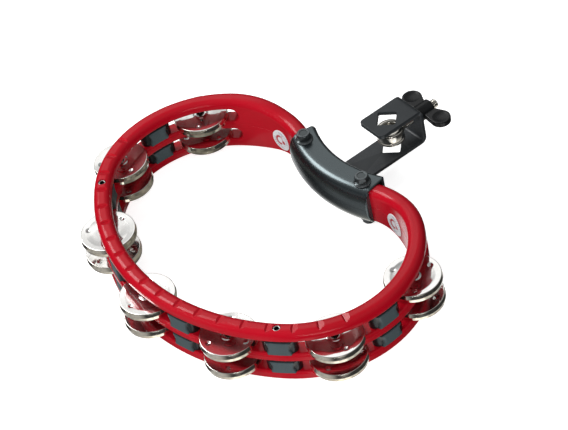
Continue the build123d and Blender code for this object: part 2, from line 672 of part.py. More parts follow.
print("bracket", round(brk.volume), brk.is_valid, brk.bounding_box())
save(brk, "mounting_bracket")

# ------------------------------------------------------------ eyebolt
ep = [(EYE_HOLE_R, -6.0), (EYE_HOLE_R, 6.0), (9.2, 6.0), (EYE_R, 4.4), (EYE_R, -1.9), (EYE_R - 1.0, -2.6),
      (EYE_R - 1.0, -3.3), (EYE_R, -4.0), (EYE_R, -5.3), (EYE_R - 0.7, -6.0)]
ef = Face(Wire([Edge.make_line(Vector(EYE_X + a[0], 0, AXIS_Z + a[1]), Vector(EYE_X + b[0], 0, AXIS_Z + b[1]))
                for a, b in zip(ep, ep[1:] + ep[:1])]))
eye = revolve(ef, Axis((EYE_X, 0, 0), (0, 0, 1)), 360)
shank = Pos((EYE_X + 9.0 + BOLT_END_X) / 2, 0, AXIS_Z) * (Rot(0, 90, 0) * Cylinder(SHANK_R, BOLT_END_X - EYE_X - 9.0))
tip = [e for e in shank.edges() if abs((e @ 0.5).X - BOLT_END_X) < 1e-3]
shank = chamfer(tip, 0.7)
eyebolt = (eye + shank).solids()[0]
print("eyebolt", round(eyebolt.volume), eyebolt.is_valid)
save(eyebolt, "eyebolt")

washer = Pos(WEB_X + WASHER_T / 2, 0, AXIS_Z) * (Rot(0, 90, 0) * (Cylinder(8.2, WASHER_T - 0.02) - Cylinder(SHANK_HOLE_R + 0.1, 3)))
save(washer, "washer")

# ------------------------------------------------------------ wing nut
hub = Pos((NUT_X0 + NUT_X1) / 2, 0, AXIS_Z) * (Rot(0, 90, 0) * Cylinder(NUT_R, NUT_X1 - NUT_X0))
hub_rims = [e for e in hub.edges() if abs((e @ 0.5).X - NUT_X1) < 1e-3 or abs((e @ 0.5).X - NUT_X0) < 1e-3]
hub_rims = [e for e in hub_rims if abs((e @ 0).X - (e @ 0.5).X) < 1e-3]
hub = fillet(hub_rims, 0.7)
nut = hub
for sgn in (1, -1):
    lobe_c = (LOBE_X, sgn * LOBE_Y)
    circ = Pos(*lobe_c) * Circle(LOBE_R)
    # neck: tangent lines from the lobe to the side of the hub
    root = [(156.2 + SHIFT_X, sgn * 4.0), (166.2 + SHIFT_X, sgn * 4.0)]

    def tangent(p, side):
        dx, dy = p[0] - lobe_c[0], p[1] - lobe_c[1]
        d = math.hypot(dx, dy)
        base = math.atan2(dy, dx)
        a = base + side * math.acos(LOBE_R / d)
        return (lobe_c[0] + LOBE_R * math.cos(a), lobe_c[1] + LOBE_R * math.sin(a))

    cands = []
    for p, want in ((root[0], -1), (root[1], 1)):
        best = None
        for side in (1, -1):
            q = tangent(p, side)
            if best is None or want * (q[0] - best[0]) > 0:
                best = q
        cands.append(best)
    poly = Polyline(root[0], cands[0], cands[1], root[1], close=True)
    neck = make_face(poly)
    plan = (circ + neck).face()
    wing = Pos(0, 0, AXIS_Z - LOBE_T / 2) * extrude(plan, amount=LOBE_T)
    wing = wing.solids()[0]
    rim_e = [e for e in wing.edges() if abs(abs((e @ 0.5).Z - AXIS_Z) - LOBE_T / 2) < 1e-3 and abs((e @ 0.5).Y) > 4.2]
    wing = fillet(rim_e, 0.8)
    for up in (1, -1):
        wing -= Pos(lobe_c[0], lobe_c[1], AXIS_Z + up * (LOBE_T / 2 - 1.1 + 21.0)) * Sphere(21.0)
    nut = nut + wing
nut -= Pos((NUT_X0 + NUT_X1) / 2, 0, AXIS_Z) * (Rot(0, 90, 0) * Cylinder(SHANK_HOLE_R - 0.03, 40))
nut = nut.solids().sort_by(SortBy.VOLUME)[-1]
print("wing nut", round(nut.volume), nut.is_valid, nut.bounding_box())
save(nut, "wing_nut")

# ------------------------------------------------------------ badges
for name, s in (("badge_left", BADGE_S), ("badge_right", -BADGE_S)):
    q, n = at(s)
    ring_band = prism(strip(min(s - 14, s + 14), max(s - 14, s + 14), -WALL / 2 - BADGE_T, -WALL / 2), 0, 50)
    p = at(s, -WALL / 2)[0]
    lens = Cylinder(BADGE_R, 12)
    plane = Plane(origin=(p[0], p[1], BADGE_Z), z_dir=(n[0], n[1], 0))
    save((ring_band & (plane * lens)).solids()[0], name)

print("nodes", len(os.listdir("parts")))
print("R5", round(R5, 2), "DENT_X", round(DENT_X, 2), "HALF", round(HALF, 2), "bolts", BOLTS)
print("pins", [(round(x, 2), round(y, 2)) for x, y in PINS])
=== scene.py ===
import json
import math
import bpy
import bmesh
from mathutils import Matrix, Vector


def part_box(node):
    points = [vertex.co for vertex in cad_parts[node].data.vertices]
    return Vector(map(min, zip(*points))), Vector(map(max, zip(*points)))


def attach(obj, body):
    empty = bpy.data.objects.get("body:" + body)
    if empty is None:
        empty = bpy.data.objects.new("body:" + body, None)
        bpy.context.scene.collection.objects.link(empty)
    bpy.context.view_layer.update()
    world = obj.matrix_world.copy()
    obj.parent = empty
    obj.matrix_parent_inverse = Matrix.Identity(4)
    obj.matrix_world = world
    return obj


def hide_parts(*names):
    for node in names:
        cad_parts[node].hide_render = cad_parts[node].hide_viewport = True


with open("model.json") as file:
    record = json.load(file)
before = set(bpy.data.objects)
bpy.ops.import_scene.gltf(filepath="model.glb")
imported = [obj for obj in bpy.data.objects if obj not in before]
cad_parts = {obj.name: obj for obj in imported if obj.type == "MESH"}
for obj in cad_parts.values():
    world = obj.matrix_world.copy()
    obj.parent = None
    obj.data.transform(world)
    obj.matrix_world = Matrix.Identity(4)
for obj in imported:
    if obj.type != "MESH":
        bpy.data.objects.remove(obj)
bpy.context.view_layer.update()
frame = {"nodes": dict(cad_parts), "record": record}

NODES = frame["nodes"]
scene = bpy.context.scene

# ---------------------------------------------------------------- node helpers
class Mat:
    """A small helper for building a procedural material."""

    def __init__(self, name):
        self.m = bpy.data.materials.new(name)
        self.m.use_nodes = True
        self.t = self.m.node_tree
        self.t.nodes.clear()
        self.out = self.t.nodes.new("ShaderNodeOutputMaterial")
        self.b = self.t.nodes.new("ShaderNodeBsdfPrincipled")
        self.t.links.new(self.b.outputs[0], self.out.inputs[0])
        self.tc = self.t.nodes.new("ShaderNodeTexCoord")

    def link(self, a, b):
        self.t.links.new(a, b)
        return b

    def put(self, sock, v):
        if hasattr(v, "is_output"):
            self.t.links.new(v, sock)
        else:
            sock.default_value = v

    def obj(self):
        return self.tc.outputs["Object"]

    def noise(self, scale, detail=3.0, rough=0.5, vec=None, dist=0.0):
        n = self.t.nodes.new("ShaderNodeTexNoise")
        self.put(n.inputs["Vector"], vec or self.obj())
        n.inputs["Scale"].default_value = scale
        n.inputs["Detail"].default_value = detail
        n.inputs["Roughness"].default_value = rough
        n.inputs["Distortion"].default_value = dist
        return n.outputs["Fac"]

    def voronoi(self, scale, feature="F1", vec=None):
        n = self.t.nodes.new("ShaderNodeTexVoronoi")
        n.feature = feature
        self.put(n.inputs["Vector"], vec or self.obj())
        n.inputs["Scale"].default_value = scale
        return n.outputs["Distance"]

    def ramp(self, fac, *stops):
        n = self.t.nodes.new("ShaderNodeValToRGB")
        self.put(n.inputs[0], fac)
        el = n.color_ramp.elements
        while len(el) < len(stops):
            el.new(0.5)
        for e, (p, c) in zip(el, stops):
            e.position = p
            e.color = tuple(c) + (1.0,) if len(c) == 3 else c
        return n.outputs[0]

    def remap(self, fac, a, b, c, d):
        n = self.t.nodes.new("ShaderNodeMapRange")
        self.put(n.inputs[0], fac)
        for i, v in zip((1, 2, 3, 4), (a, b, c, d)):
            n.inputs[i].default_value = v
        return n.outputs[0]

    def math(self, op, a, b=0.0, c=None, clamp=False):
        n = self.t.nodes.new("ShaderNodeMath")
        n.operation = op
        n.use_clamp = clamp
        self.put(n.inputs[0], a)
        self.put(n.inputs[1], b)
        if c is not None:
            self.put(n.inputs[2], c)
        return n.outputs[0]

    def mix(self, fac, a, b):
        n = self.t.nodes.new("ShaderNodeMix")
        n.data_type = "RGBA"
        self.put(n.inputs["Factor"], fac)
        self.put(n.inputs[6], a)
        self.put(n.inputs[7], b)
        return n.outputs[2]

    def scaled(self, sx, sy, sz, vec=None):
        n = self.t.nodes.new("ShaderNodeMapping")
        self.put(n.inputs["Vector"], vec or self.obj())
        n.inputs["Scale"].default_value = (sx, sy, sz)
        return n.outputs[0]

    def bump(self, height, strength, distance=0.001, normal=None):
        n = self.t.nodes.new("ShaderNodeBump")
        n.inputs["Strength"].default_value = strength
        n.inputs["Distance"].default_value = distance
        self.put(n.inputs["Height"], height)
        if normal is not None:
            self.put(n.inputs["Normal"], normal)
        return n.outputs[0]

    def set(self, **kw):
        names = {"color": "Base Color", "metal": "Metallic", "rough": "Roughness", "normal": "Normal",
                 "coat": "Coat Weight", "coat_rough": "Coat Roughness", "spec": "Specular IOR Level",
                 "sheen": "Sheen Weight", "aniso": "Anisotropic", "ior": "IOR", "sss": "Subsurface Weight"}
        for k, v in kw.items():
            s = self.b.inputs[names[k]]
            if k == "color" and isinstance(v, tuple) and len(v) == 3:
                v = v + (1.0,)
            self.put(s, v)
        return self


def c4(r, g, b):
    return (r, g, b, 1.0)


def edge_wear(m, lo=0.52, hi=0.62):
    """Grey value that rises along convex edges."""
    g = m.t.nodes.new("ShaderNodeNewGeometry")
    return m.remap(g.outputs["Pointiness"], lo, hi, 0.0, 1.0)


# ---------------------------------------------------------------- materials
def bevelled(m, radius, normal=None):
    """Normals rounded along sharp edges, as a moulded or pressed edge is."""
    n = m.t.nodes.new("ShaderNodeBevel")
    n.samples = 6
    n.inputs["Radius"].default_value = radius
    if normal is not None:
        m.put(n.inputs["Normal"], normal)
    return n.outputs[0]


def red_plastic():
    m = Mat("red_shell")
    broad = m.noise(14.0, 2.0)
    fine = m.noise(160.0, 4.0, 0.6)
    col = m.mix(m.remap(broad, 0.35, 0.65, 0.0, 1.0), c4(*RED_A), c4(*RED_B))
    col = m.mix(m.remap(fine, 0.3, 0.8, 0.0, 0.25), col, c4(*RED_C))
    streak = m.noise(260.0, 5.0, 0.7, vec=m.scaled(1.0, 1.0, 0.25))
    rough = m.math("ADD", m.remap(fine, 0.3, 0.7, 0.19, 0.24), m.remap(streak, 0.62, 0.75, 0.0, 0.04))
    peel = m.noise(240.0, 2.0, 0.4)
    grain = m.noise(2600.0, 2.0, 0.5)
    n1 = m.bump(peel, 0.05, 0.0004)
    n2 = m.bump(grain, 0.03, 0.0001, n1)
    m.set(color=col, rough=rough, normal=n2, spec=0.27)
    return m.m


def spacer_plastic():
    """Matt textured panels; the smooth ends and the ledge carry painted shade, near black."""
    m = Mat("spacer_plastic")
    at = m.t.nodes.new("ShaderNodeAttribute")
    at.attribute_name = "shade_paint"
    painted_shade_mask = at.outputs["Fac"]
    broad = m.noise(60.0, 3.0)
    fine = m.noise(1200.0, 4.0, 0.6)
    panel = m.mix(m.remap(broad, 0.3, 0.7, 0.0, 1.0), c4(0.060, 0.088, 0.098), c4(0.078, 0.112, 0.122))
    panel = m.mix(m.remap(fine, 0.35, 0.7, 0.0, 0.5), panel, c4(0.045, 0.062, 0.068))
    # painted shade: the marked ends and ledge of the spacers are coloured near black
    col = m.mix(painted_shade_mask, panel, c4(0.006, 0.008, 0.009))
    rough = m.mix(painted_shade_mask, c4(0.5, 0.5, 0.5), c4(0.25, 0.25, 0.25))
    n1 = m.bump(fine, 0.15, 0.0002)
    m.set(color=col, rough=rough, normal=n1, spec=0.4)
    return m.m


def black_plastic(name, base, rough0, rough1, grain=1500.0, strength=0.10, edge=0.0003, edge_col=None, spec=0.5, peel=0.05,
                  tint=(1.0, 1.0, 1.0)):
    m = Mat(name)
    broad = m.noise(30.0, 3.0)
    fine = m.noise(300.0, 4.0, 0.6)
    d = tuple(v * 0.78 for v in base)
    l = tuple(v * 1.22 for v in base)
    col = m.mix(m.remap(broad, 0.3, 0.7, 0.0, 1.0), c4(*d), c4(*l))
    if edge_col:
        col = m.mix(edge_wear(m, 0.53, 0.66), col, c4(*edge_col))
    rough = m.remap(fine, 0.3, 0.7, rough0, rough1)
    n0 = bevelled(m, edge) if edge else None
    n1 = m.bump(m.noise(grain, 3.0, 0.6), strength, 0.0002, n0)
    n2 = m.bump(m.noise(350.0, 2.0, 0.5), peel, 0.0004, n1)
    m.set(color=col, rough=rough, normal=n2, spec=spec)
    m.b.inputs["Specular Tint"].default_value = tint + (1.0,)
    return m.m


def powder_coat():
    m = Mat("bracket_coat")
    cells = m.voronoi(1500.0)
    fine = m.noise(700.0, 3.0, 0.6)
    broad = m.noise(40.0, 3.0)
    col = m.mix(m.remap(broad, 0.3, 0.7, 0.0, 1.0), c4(0.014, 0.018, 0.021), c4(0.021, 0.026, 0.030))
    wear = edge_wear(m, 0.57, 0.70)
    speck = m.remap(m.noise(600.0, 4.0, 0.7), 0.30, 0.60, 0.3, 1.0)
    worn = m.math("MULTIPLY", wear, speck, clamp=True)
    col = m.mix(worn, col, c4(0.13, 0.14, 0.15))
    rough = m.remap(fine, 0.3, 0.7, 0.34, 0.46)
    n0 = bevelled(m, 0.00045)
    n1 = m.bump(cells, 0.07, 0.0002, n0)
    n2 = m.bump(fine, 0.08, 0.0002, n1)
    m.set(color=col, rough=rough, normal=n2, spec=0.5)
    return m.m


def jingle_steel():
    """Polished steel with rolling marks, slightly warm towards the lip."""
    m = Mat("jingle_steel")
    smear = m.noise(55.0, 4.0, 0.6)
    fine = m.noise(900.0, 3.0, 0.6)
    rough = m.math("ADD", m.remap(smear, 0.3, 0.75, 0.04, 0.09), m.remap(fine, 0.55, 0.8, 0.0, 0.05))
    at = m.t.nodes.new("ShaderNodeAttribute")
    at.attribute_name = "lip"
    lip = at.outputs["Fac"]
    top = m.mix(m.remap(smear, 0.35, 0.7, 0.0, 1.0), c4(0.90, 0.89, 0.87), c4(0.80, 0.79, 0.76))
    warm = m.mix(m.remap(smear, 0.35, 0.7, 0.0, 1.0), c4(0.78, 0.74, 0.64), c4(0.66, 0.60, 0.48))
    col = m.mix(lip, top, warm)
    wavy = m.noise(90.0, 2.0, 0.45)
    n1 = m.bump(wavy, 0.16, 0.0006)
    n2 = m.bump(m.noise(1400.0, 2.0, 0.5), 0.03, 0.0001, n1)
    m.set(color=col, metal=1.0, rough=rough, normal=n2, coat=0.9, coat_rough=0.36)
    m.b.inputs["Coat IOR"].default_value = 1.9
    return m.m


def steel(name, base, rough0, rough1, wav=0.05, edge=None):
    m = Mat(name)
    fine = m.noise(800.0, 4.0, 0.6)
    broad = m.noise(120.0, 3.0)
    d = tuple(v * 0.82 for v in base)
    col = m.mix(m.remap(broad, 0.3, 0.7, 0.0, 1.0), c4(*d), c4(*base))
    rough = m.remap(fine, 0.3, 0.7, rough0, rough1)
    n0 = bevelled(m, edge) if edge else None
    n1 = m.bump(m.noise(500.0, 3.0, 0.5), wav, 0.0003, n0)
    # a socket, marked on the mesh, is painted near black as shade
    at = m.t.nodes.new("ShaderNodeAttribute")
    at.attribute_name = "shade_paint"
    col = m.mix(at.outputs["Fac"], col, c4(0.012, 0.011, 0.010))
    m.set(color=col, metal=1.0, rough=rough, normal=n1)
    return m.m


def badge():
    """Plain print on white: a grey band of ticks round a red motif, from the
    disc's own flat coordinates (u, v run from -1 to 1 across it)."""
    m = Mat("badge_print")
    uv = m.t.nodes.new("ShaderNodeUVMap")
    uv.uv_map = "disc"
    sep = m.t.nodes.new("ShaderNodeSeparateXYZ")
    m.put(sep.inputs[0], uv.outputs[0])
    u, v = sep.outputs[0], sep.outputs[1]
    r = m.math("SQRT", m.math("ADD", m.math("MULTIPLY", u, u), m.math("MULTIPLY", v, v)))
    ang = m.math("ARCTAN2", v, u)

    def between(x, lo, hi, soft):
        return m.math("MULTIPLY", m.remap(x, lo - soft, lo + soft, 0.0, 1.0), m.remap(x, hi - soft, hi + soft, 1.0, 0.0))

    ticks = m.remap(m.math("SINE", m.math("MULTIPLY", ang, 26.0)), 0.0, 0.5, 0.0, 1.0)
    gap = m.remap(m.math("SINE", m.math("MULTIPLY", ang, 2.0)), -0.6, -0.4, 0.0, 1.0)
    band = m.math("MULTIPLY", m.math("MULTIPLY", between(r, 0.66, 0.84, 0.02), ticks), gap)
    col = m.mix(m.math("MULTIPLY", band, 0.75), c4(0.80, 0.81, 0.84), c4(0.20, 0.17, 0.24))
    line = between(r, 0.575, 0.60, 0.012)
    col = m.mix(m.math("MULTIPLY", line, 0.5), col, c4(0.30, 0.26, 0.32))
    # red motif: a crescent and a dot with a stem, as an abstract jingle
    u, v = m.math("MULTIPLY", u, 0.68), m.math("MULTIPLY", v, 0.68)
    cx = m.math("ADD", u, 0.10)
    r2 = m.math("SQRT", m.math("ADD", m.math("MULTIPLY", cx, cx), m.math("MULTIPLY", v, v)))
    crescent = m.math("MULTIPLY", between(r2, 0.20, 0.33, 0.02), m.remap(u, -0.02, 0.03, 1.0, 0.0))
    dx = m.math("ADD", u, -0.20)
    dy = m.math("ADD", v, 0.10)
    r3 = m.math("SQRT", m.math("ADD", m.math("MULTIPLY", dx, dx), m.math("MULTIPLY", dy, dy)))
    dot = m.remap(r3, 0.11, 0.14, 1.0, 0.0)
    stem = m.math("MULTIPLY", between(u, 0.07, 0.12, 0.012), between(v, -0.12, 0.36, 0.012))
    motif = m.math("MAXIMUM", m.math("MAXIMUM", crescent, dot), stem)
    col = m.mix(motif, col, c4(0.48, 0.012, 0.03))
    fine = m.noise(900.0, 3.0, 0.6)
    m.set(color=col, rough=m.remap(fine, 0.3, 0.7, 0.26, 0.36), coat=0.3, coat_rough=0.1,
          normal=m.bump(fine, 0.04, 0.0001))
    return m.m


RED_A, RED_B, RED_C = (0.46, 0.0026, 0.012), (0.52, 0.0034, 0.016), (0.41, 0.0022, 0.010)
RED = red_plastic()
CLAMP = black_plastic("clamp_plastic", (0.0030, 0.0045, 0.0060), 0.24, 0.28, 1500.0, 0.010, 0.0, edge_col=(0.03, 0.04, 0.045), spec=1.0, peel=0.008,
                      tint=(0.80, 0.96, 1.0))
SPACER = spacer_plastic()
BOLT = black_plastic("black_bolt", (0.012, 0.014, 0.015), 0.13, 0.20, 900.0, 0.04, 0.0004, edge_col=(0.16, 0.17, 0.18), spec=1.0, peel=0.02,
                     tint=(0.85, 0.97, 1.0))
CLAMP.node_tree.nodes["Principled BSDF"].inputs["IOR"].default_value = 1.65
COAT = powder_coat()
NUT = black_plastic("nut_coat", (0.006, 0.007, 0.008), 0.24, 0.32, 700.0, 0.12, spec=0.35)
JINGLE = jingle_steel()
PIN = steel("pin_steel", (0.42, 0.41, 0.39), 0.22, 0.34)
SCREW = steel("rim_screw_steel", (0.46, 0.46, 0.45), 0.16, 0.28, edge=0.0002)
EYE = steel("eyebolt_plate", (0.80, 0.77, 0.70), 0.10, 0.20, 0.08)
BADGE = badge()

BY_SLOT = {"red_shell": RED, "clamp_plastic": CLAMP, "spacer_plastic": SPACER, "jingle_steel": JINGLE,
           "pin_steel": PIN, "rim_screw_steel": SCREW, "black_bolt": BOLT, "bracket_coat": COAT,
           "eyebolt_plate": EYE, "nut_coat": NUT, "badge_print": BADGE}
SLOT_OF = {s["node"]: s["material_slot"] for s in frame["record"]["subparts"]}
BODY_OF = {n: b for b, ns in frame["record"]["behaviour"]["bodies"].items() for n in ns}
for name, ob in NODES.items():
    m = BY_SLOT[SLOT_OF[name]]
    if not ob.data.materials:
        ob.data.materials.append(m)
    for i in range(len(ob.data.materials)):
        ob.data.materials[i] = m


# ---------------------------------------------------------------- plan curve
def plan_table():
    rows, p, h = [], (-0.1367, 0.0), math.pi / 2
    for radius, ang in ((0.18308, 38.593), (0.09851, 17.216), (0.08636, 114.482), (0.06069, 32.388)):
        a = math.radians(ang)
        c = (p[0] + radius * math.sin(h), p[1] - radius * math.cos(h))
        rows.append((radius, a, c, h, 1))
        h -= a
        p = (c[0] - radius * math.sin(h), c[1] + radius * math.cos(h))
    a5 = -math.pi / 2 - h
    r5 = p[1] / math.sin(a5)
    rows.append((r5, a5, (p[0] - r5 * math.sin(h), p[1] + r5 * math.cos(h)), h, -1))
    return rows


ARCS = plan_table()


def wall(s, off):
    """Point at length s along the ring's wall, moved outward by off, and the
    outward normal there."""
    t, done = abs(s), 0.0
    for i, (radius, a, c, h, turn) in enumerate(ARCS):
        if t <= done + radius * a + 1e-9 or i == 4:
            u = (t - done) / radius
            n = (-math.sin(h - turn * u), math.cos(h - turn * u))
            q = (c[0] + turn * (radius + turn * off) * n[0], c[1] + turn * (radius + turn * off) * n[1])
            break
        done += radius * a
    k = -1 if s < 0 else 1
    return (q[0], k * q[1]), (n[0], k * n[1])


# ---------------------------------------------------------------- pieces
def piece(name, bm, mat, node, crease=None):
    """A finished mesh that stands for one CAD node."""
    bm.normal_update()
    me = bpy.data.meshes.new(name)
    bm.to_mesh(me)
    bm.free()
    for p in me.polygons:
        p.use_smooth = True
    me.materials.append(mat)
    ob = bpy.data.objects.new(name, me)
    scene.collection.objects.link(ob)
    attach(ob, BODY_OF[node])
    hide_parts(node)
    return ob


def arc_points(a, m, b, n):
    """Points on the circle through a, m and b, from a to b."""
    (x1, y1), (x2, y2), (x3, y3) = a, m, b
    d = 2 * (x1 * (y2 - y3) + x2 * (y3 - y1) + x3 * (y1 - y2))
    ux = ((x1 * x1 + y1 * y1) * (y2 - y3) + (x2 * x2 + y2 * y2) * (y3 - y1) + (x3 * x3 + y3 * y3) * (y1 - y2)) / d
    uy = ((x1 * x1 + y1 * y1) * (x3 - x2) + (x2 * x2 + y2 * y2) * (x1 - x3) + (x3 * x3 + y3 * y3) * (x2 - x1)) / d
    r = math.hypot(x1 - ux, y1 - uy)
    t0, tm, t1 = (math.atan2(q[1] - uy, q[0] - ux) for q in (a, m, b))

    def wrap(t):
        return (t + math.pi) % (2 * math.pi) - math.pi

    sweep = wrap(tm - t0) + wrap(t1 - tm)
    return [(ux + r * math.cos(t0 + sweep * i / n), uy + r * math.sin(t0 + sweep * i / n)) for i in range(n + 1)]


def disc_profile(fall):
    """Half section of a jingle in mm, lip down, its crown at z = 0, each
    point with how far it belongs to the lip. The margin runs flat with the
    given slope or, with none given, is the last part of an even bowl."""
    pts = [(3.25, -0.80, 0), (3.25, -0.30, 0), (3.31, -0.16, 0), (3.5, -0.10, 0), (4.3, -0.10, 0), (5.0, -0.12, 0),
           (5.35, -0.22, 0), (5.75, -0.52, 0), (6.2, -0.78, 0), (6.6, -0.90, 0)]
    bowl, fall = fall is None, fall or 0.0
    low, drop = 3.6 * max(fall, 0.0), 3.6 * max(-fall, 0.0)
    if bowl:
        pts += [(x, z, 0) for x, z in arc_points((7.0, -0.95), (14.6, -0.71), (21.85, -0.02), 28)]
    else:
        pts += [(x, z, 0) for x, z in arc_points((7.0, -0.95), (12.4, -0.68 - 0.5 * low), (17.2, -0.07 - 1.1 * low), 20)]
        pts += [(x, -0.01 - drop - fall * (21.5 - x), 0) for x in (17.9, 18.7, 19.6, 20.5, 21.3, 21.8)]
    pts += [(x, z - drop, 0.3 + 0.7 * i / 7) for i, (x, z) in enumerate(arc_points((21.95, -0.02), (22.32, -0.17), (22.48, -0.55), 7))]
    pts += [(22.49 + 0.46 * k / 6, -0.70 - 2.68 * k / 6, 1) for k in range(0, 7)]
    pts += [(22.985, -3.46, 1), (22.99, -3.54, 1), (22.93, -3.59, 1), (22.6, -3.60, 1), (22.36, -3.57, 1), (22.28, -3.48, 1)]
    pts += [(21.85, -1.30, 1), (21.78, -1.02, 1), (21.64, -0.82, 1), (21.35, -0.72, 0.5)]
    pts += [(x, z, 0) for x, z in arc_points((21.2, -0.73), (14.4, -1.40), (7.0, -1.65), 16)]
    pts += [(6.2, -1.46, 0), (5.3, -1.10, 0), (4.8, -0.84, 0), (4.2, -0.80, 0)]
    return pts


def disc_mesh(seed, fall, segs=112):
    """One jingle: a lathe-turned cup with three pressed dimples and the
    slight waviness of stamped steel."""
    prof = disc_profile(fall)
    bm = bmesh.new()
    lip = bm.verts.layers.float.new("lip")
    dim = [(16.6 * math.cos(math.radians(90 + 120 * i)), 16.6 * math.sin(math.radians(90 + 120 * i))) for i in range(3)]
    rings = []
    for r, z, k in prof:
        ring = []
        for j in range(segs):
            t = 2 * math.pi * j / segs
            w = 0.5 + 0.5 * math.sin(3 * t + seed) * math.cos(5 * t + 1.7 * seed)
            rr = r - 0.045 * w * max(0.0, (r - 18) / 5.0)
            zz = z
            x, y = rr * math.cos(t), rr * math.sin(t)
            if 8 < r < 21:
                zz += 0.05 * (math.sin(2 * t + 0.9 * seed) - 1.0) * max(0.0, math.sin((r - 7) / 14 * math.pi))
                for dx, dy in dim:
                    d = math.hypot(x - dx, y - dy)
                    if d < 2.4:
                        q = d / 2.4
                        zz -= 0.78 * (1 - q * q) ** 2
            v = bm.verts.new((x / 1000, y / 1000, zz / 1000))
            v[lip] = k
            ring.append(v)
        rings.append(ring)
    n = len(rings)
    for i in range(n):
        a, b = rings[i], rings[(i + 1) % n]
        for j in range(segs):
            k = (j + 1) % segs
            bm.faces.new((a[j], a[k], b[k], b[j]))
    bmesh.ops.recalc_face_normals(bm, faces=bm.faces)
    return bm


TURN = {("lower", 1): (12, 71), ("lower", 2): (95, 33), ("lower", 3): (48, 104),
        ("lower", 4): (20, 66), ("lower", 5): (83, 9), ("lower", 6): (57, 112),
        ("lower", 7): (31, 88), ("upper", 1): (64, 17), ("upper", 2): (5, 58),
        ("upper", 3): (100, 41), ("upper", 4): (37, 93), ("upper", 5): (15, 76),
        ("upper", 6): (110, 52), ("upper", 7): (69, 24)}
FALL = {("upper", 1): 0.02, ("upper", 3): 0.03, ("upper", 4): 0.02, ("upper", 6): 0.0, ("upper", 7): 0.01, ("lower", 6): 0.05}
for (row, k), turns in TURN.items():
    for part, turn in zip(("bottom", "top"), turns):
        node = "jingle_%s_row_%d_%s" % (row, k, part)
        lo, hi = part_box(node)
        cx, cy = (lo[0] + hi[0]) / 2, (lo[1] + hi[1]) / 2
        bm = disc_mesh(k * 1.9 + (0.7 if part == "top" else 0.0) + (3.1 if row == "upper" else 0.0), FALL.get((row, k)))
        flip = Matrix.Rotation(math.pi, 4, "X") if part == "bottom" else Matrix.Identity(4)
        z = hi[2] if part == "top" else lo[2]
        # the crown of the CAD disc is its highest or lowest face
        bm.transform(Matrix.Translation((cx, cy, z)) @ Matrix.Rotation(math.radians(turn), 4, "Z") @ flip)
        if part == "bottom":
            bmesh.ops.recalc_face_normals(bm, faces=bm.faces)
        piece("disc_%s_%d_%s" % (row, k, part), bm, JINGLE, node)


def spacer_mesh(z0, z1):
    """Six spacers of one slot: an obround block with a flat front and back
    panel that stops short of the rail above, its ends scooped back."""
    bm = bmesh.new()
    painted_shade_mask = bm.verts.layers.float.new("shade_paint")
    half, rad, flat = 13.785, 7.0, 8.4
    # plan outline of the obround, front side from -s to +s, then the back
    line = []
    for i in range(13):
        line.append((-flat + 2 * flat * i / 12, rad))
    for i in range(1, 20):
        t = math.pi / 2 - math.pi * i / 20
        line.append((flat + (half - flat) * math.cos(t), rad * math.sin(t)))
    for i in range(13):
        line.append((flat - 2 * flat * i / 12, -rad))
    for i in range(1, 20):
        t = -math.pi / 2 - math.pi * i / 20
        line.append((-flat + (half - flat) * math.cos(t), rad * math.sin(t)))
    top = z1 - 1.2
    zs = [(z0 - 0.9, 0), (z0 - 0.3, 0), (z0 + 0.6, 0), (z0 + 2.0, 0), (z0 + 3.4, 0), (z0 + 4.8, 0), (z0 + 6.2, 0),
          (top - 0.9, 0), (top - 0.25, 0), (top, 0.12), (top + 0.05, 1), (top + 0.6, 1), (z1, 1)]
    for k in range(6):
        mid = (2.5 - k) * 83.57
        rings = []
        for z, ledge in zs:
            ring = []
            q = max(-1.0, min(1.0, (z - (z0 + top) / 2) / ((top - z0) / 2)))
            edge = flat + 0.6 - 1.3 * (1 - q * q)
            for ls, lo in line:
                e = min(1.0, max(0.0, (abs(ls) - edge) / 0.55))
                out = lo * (1.0 - 0.22 * e)
                if ledge == 1:
                    out = lo * 0.62
                elif ledge:
                    out = lo * (0.985 - 0.2 * e)
                w, n = wall((mid + ls) / 1000, out / 1000)
                v = bm.verts.new((w[0], w[1], z / 1000))
                # the ends and the ledge are marked for painted shade in the spacer's colour
                v[painted_shade_mask] = 1.0 if ledge == 1 else e
                ring.append(v)
            rings.append(ring)
        m = len(line)
        for a, b in zip(rings[:-1], rings[1:]):
            for j in range(m):
                bm.faces.new((a[j], a[(j + 1) % m], b[(j + 1) % m], b[j]))
        bm.faces.new(rings[0])
        bm.faces.new(rings[-1])
    bmesh.ops.recalc_face_normals(bm, faces=bm.faces)
    return bm


for name, z0, z1 in (("spacers_lower_row", 7.8, 19.4), ("spacers_upper_row", 27.7, 40.8)):
    ob = piece(name + "_moulded", spacer_mesh(z0, z1), SPACER, name)
    mod = ob.modifiers.new("edges", "EDGE_SPLIT")
    mod.split_angle = math.radians(40)


